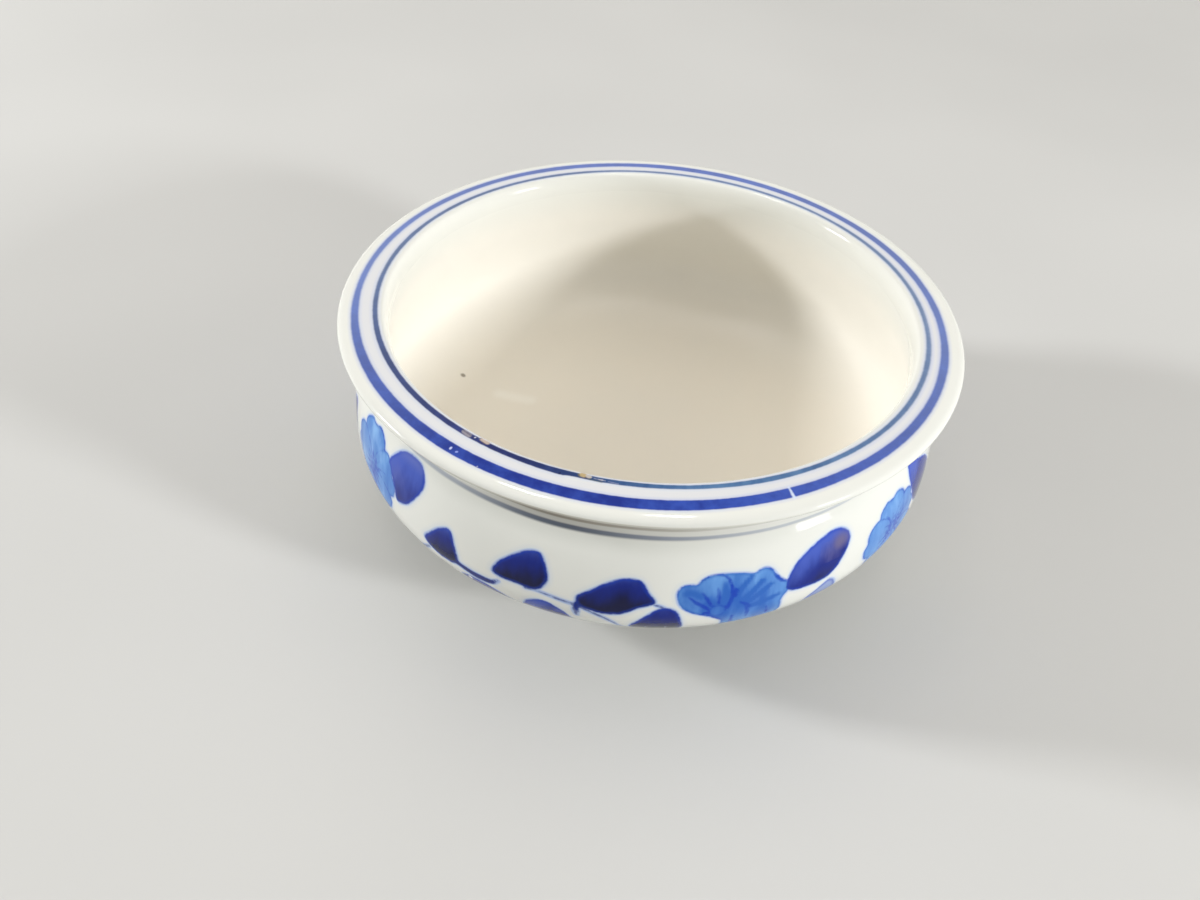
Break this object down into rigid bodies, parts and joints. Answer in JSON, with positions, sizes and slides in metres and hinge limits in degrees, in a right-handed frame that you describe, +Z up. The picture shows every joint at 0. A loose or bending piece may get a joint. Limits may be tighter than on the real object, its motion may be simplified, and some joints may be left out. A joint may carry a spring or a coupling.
{
  "type": "catchall bowl",
  "caption": "Small round glazed porcelain bowl with a flat rolled rim, recessed neck, rounded belly, low foot ring and painted blue flowers, leaves and bands.",
  "frame": {"origin": "middle of the foot ring, on the surface that the bowl stands on", "axes": "+Z up along the axis of the turned bowl, -Y towards the side that the picture shows, +X to the right in it"},
  "size_m": [0.12, 0.12, 0.045],
  "materials": {
    "glazed_porcelain": "gloss"
  },
  "bodies": {
    "root": {"bowl": "glazed_porcelain"}
  },
  "joints": []
}
